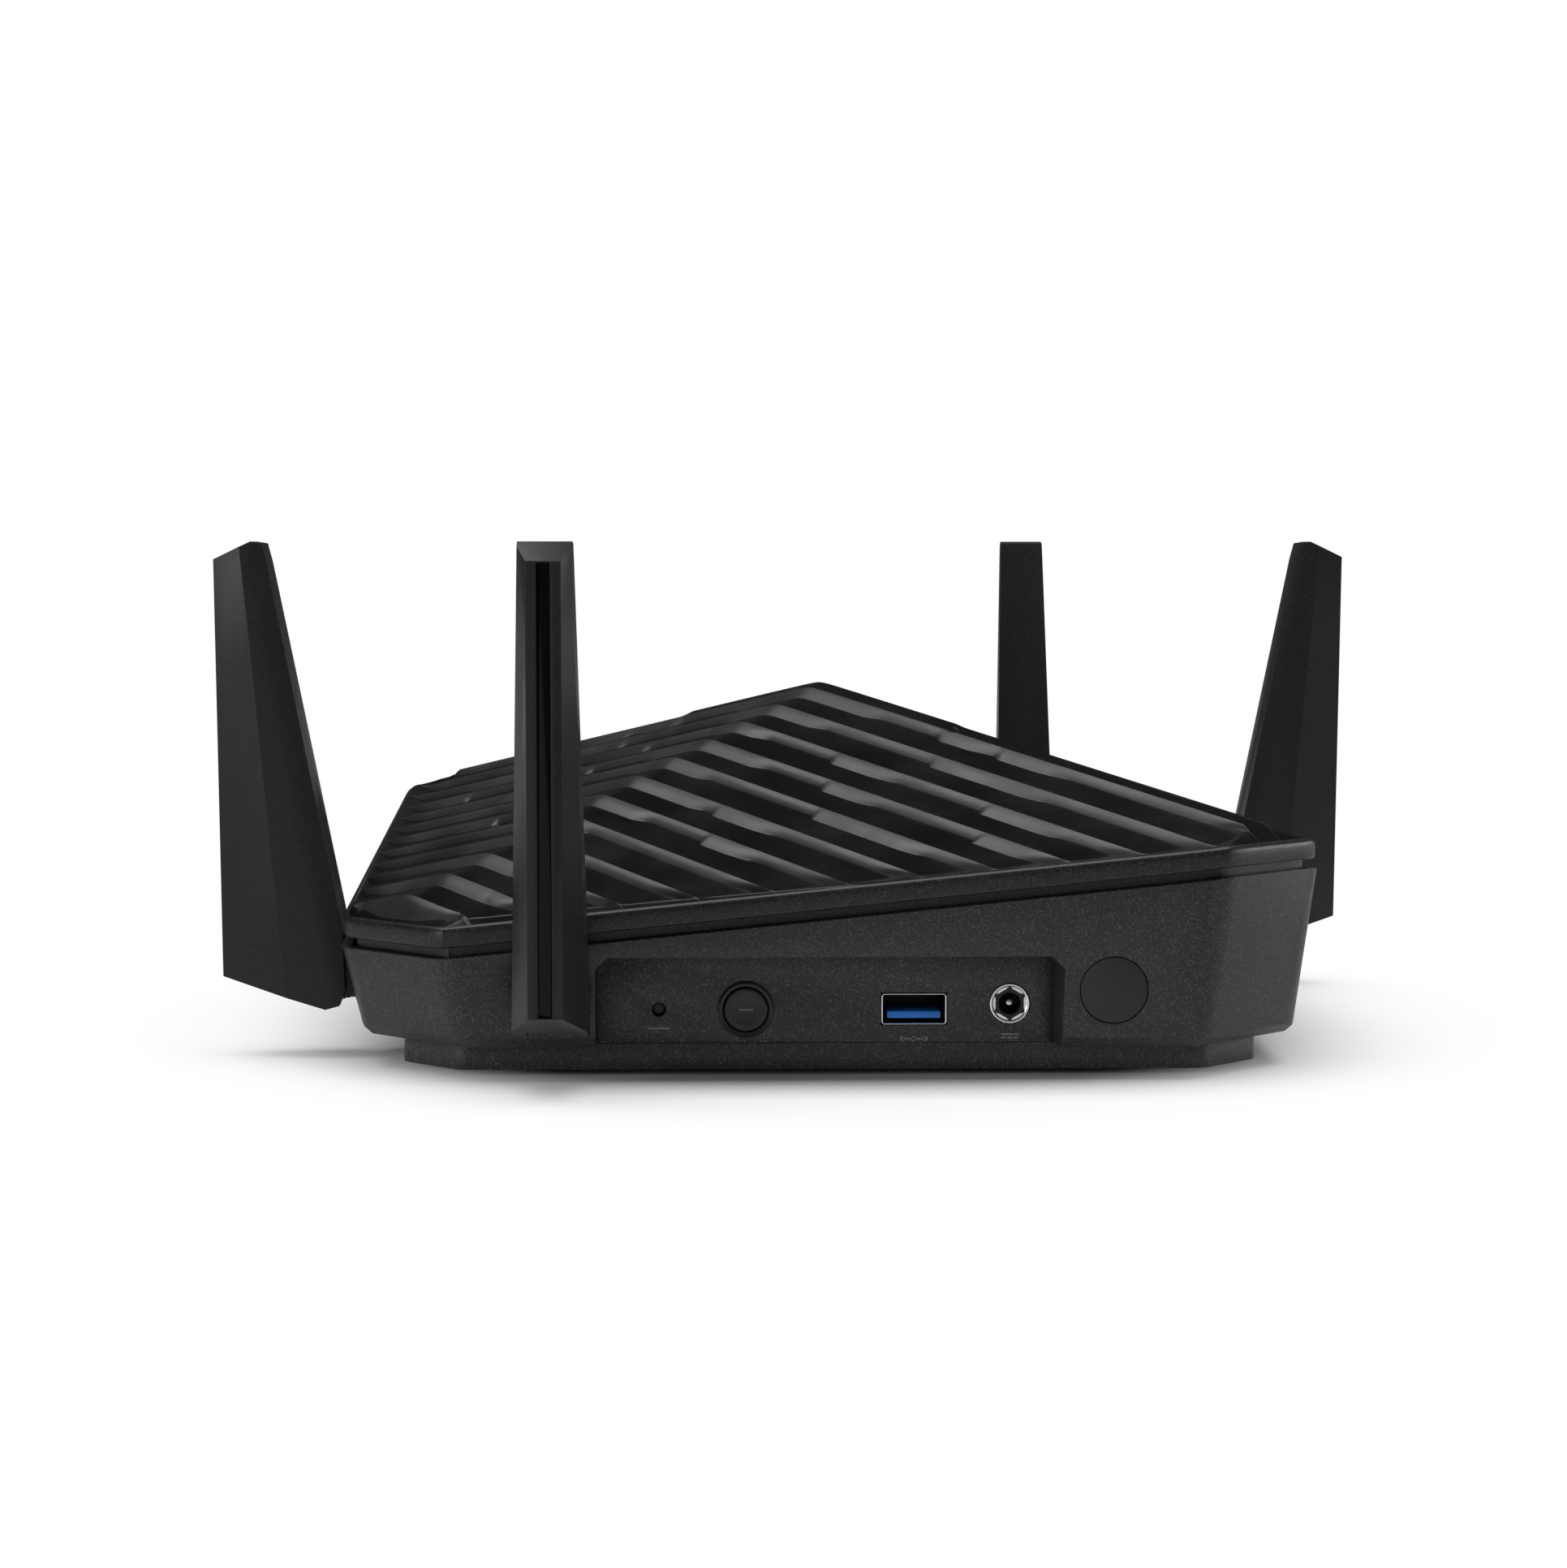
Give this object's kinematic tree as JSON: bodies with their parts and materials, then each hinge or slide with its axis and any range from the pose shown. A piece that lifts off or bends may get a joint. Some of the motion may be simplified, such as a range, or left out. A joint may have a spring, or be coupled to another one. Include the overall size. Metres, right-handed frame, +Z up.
{
  "type": "wireless router",
  "caption": "Square black wireless router with a ribbed, pyramid-like top, chamfered corners and hinged blade antennas on all sides.",
  "frame": {"origin": "on the table under the middle of the body", "axes": "+X right seen from the port side, +Y away from the port side, +Z up"},
  "size_m": [0.2614, 0.2614, 0.1101],
  "materials": {
    "shell_plastic": "black moulded plastic with a fine grain and faint light specks",
    "cover_gloss": "piano-black gloss between satin ribs, with a grained rim",
    "antenna_plastic": "charcoal moulded plastic with a fine grain",
    "strip_gloss": "polished black insert",
    "foot_rubber": "soft black rubber",
    "screw_steel": "zinc-plated steel",
    "pin_steel": "ground steel",
    "board_green": "green solder mask on glass-epoxy board",
    "can_steel": "tinned steel sheet",
    "pad_grey": "soft grey silicone pad",
    "sink_aluminium": "extruded aluminium",
    "socket_black": "black moulded connector plastic",
    "tongue_blue": "blue moulded connector plastic",
    "jack_chrome": "nickel plating",
    "button_plastic": "black moulded plastic, finer grain than the shell",
    "switch_plastic": "black switch case",
    "nut_plastic": "black glass-filled plastic",
    "element_board": "thin green circuit board with copper traces",
    "lead_sheath": "thin black coax sheath"
  },
  "bodies": {
    "root": {"housing": "shell_plastic", "bottom_plate": "shell_plastic", "port_panel": "shell_plastic", "network_panel": "shell_plastic", "blank_cap_front": "shell_plastic", "blank_cap_left": "shell_plastic", "top_cover": "cover_gloss", "rubber_feet": "foot_rubber", "base_screws": "screw_steel", "board_screws": "screw_steel", "main_board": "board_green", "shield_can_main": "can_steel", "shield_can_radio": "can_steel", "usb_shell": "can_steel", "thermal_pad": "pad_grey", "heat_sink": "sink_aluminium", "wan_socket": "socket_black", "lan_socket_1": "socket_black", "lan_socket_2": "socket_black", "lan_socket_3": "socket_black", "lan_socket_4": "socket_black", "jack_body": "socket_black", "usb_tongue": "tongue_blue", "jack_ring": "jack_chrome", "jack_pin": "jack_chrome", "pairing_switch": "switch_plastic", "reset_switch": "switch_plastic", "antenna_lead_front": "lead_sheath", "antenna_lead_left": "lead_sheath", "antenna_lead_rear": "lead_sheath", "antenna_lead_right": "lead_sheath"},
    "swivel_front_body": {"swivel_front": "antenna_plastic", "swivel_nut_front": "nut_plastic"},
    "blade_front_body": {"blade_front": "antenna_plastic", "strip_front": "strip_gloss", "element_front": "element_board", "hinge_pin_front": "pin_steel"},
    "swivel_left_body": {"swivel_left": "antenna_plastic", "swivel_nut_left": "nut_plastic"},
    "blade_left_body": {"blade_left": "antenna_plastic", "strip_left": "strip_gloss", "element_left": "element_board", "hinge_pin_left": "pin_steel"},
    "swivel_rear_body": {"swivel_rear": "antenna_plastic", "swivel_nut_rear": "nut_plastic"},
    "blade_rear_body": {"blade_rear": "antenna_plastic", "strip_rear": "strip_gloss", "element_rear": "element_board", "hinge_pin_rear": "pin_steel"},
    "swivel_right_body": {"swivel_right": "antenna_plastic", "swivel_nut_right": "nut_plastic"},
    "blade_right_body": {"blade_right": "antenna_plastic", "strip_right": "strip_gloss", "element_right": "element_board", "hinge_pin_right": "pin_steel"},
    "pairing_button_body": {"pairing_button": "button_plastic"},
    "reset_plunger_body": {"reset_plunger": "button_plastic"}
  },
  "joints": [
    {"name": "swivel_front", "type": "hinge", "parent": "root", "child": "swivel_front_body", "pos_m": [-0.0572, -0.095, 0.0188], "axis": [0, -1, 0], "range_deg": [-90, 35]},
    {"name": "tilt_front", "type": "hinge", "parent": "swivel_front_body", "child": "blade_front_body", "pos_m": [-0.0572, -0.107, 0.0188], "axis": [1, 0, 0], "range_deg": [0, 10]},
    {"name": "swivel_left", "type": "hinge", "parent": "root", "child": "swivel_left_body", "pos_m": [-0.095, -0.0572, 0.0188], "axis": [-1, 0, 0], "range_deg": [-35, 90]},
    {"name": "tilt_left", "type": "hinge", "parent": "swivel_left_body", "child": "blade_left_body", "pos_m": [-0.107, -0.0572, 0.0188], "axis": [0, -1, 0], "range_deg": [0, 10]},
    {"name": "swivel_rear", "type": "hinge", "parent": "root", "child": "swivel_rear_body", "pos_m": [0.0572, 0.095, 0.0188], "axis": [0, 1, 0], "range_deg": [-90, 35]},
    {"name": "tilt_rear", "type": "hinge", "parent": "swivel_rear_body", "child": "blade_rear_body", "pos_m": [0.0572, 0.107, 0.0188], "axis": [-1, 0, 0], "range_deg": [0, 10]},
    {"name": "swivel_right", "type": "hinge", "parent": "root", "child": "swivel_right_body", "pos_m": [0.095, 0.0572, 0.0188], "axis": [1, 0, 0], "range_deg": [-35, 90]},
    {"name": "tilt_right", "type": "hinge", "parent": "swivel_right_body", "child": "blade_right_body", "pos_m": [0.107, 0.0572, 0.0188], "axis": [0, 1, 0], "range_deg": [0, 10]},
    {"name": "pairing_press", "type": "slide", "parent": "root", "child": "pairing_button_body", "axis": [0, 1, 0], "range_m": [0, 0.0008], "stiffness_N_per_m": 1500},
    {"name": "reset_press", "type": "slide", "parent": "root", "child": "reset_plunger_body", "axis": [0, 1, 0], "range_m": [0, 0.0005], "stiffness_N_per_m": 1500}
  ]
}
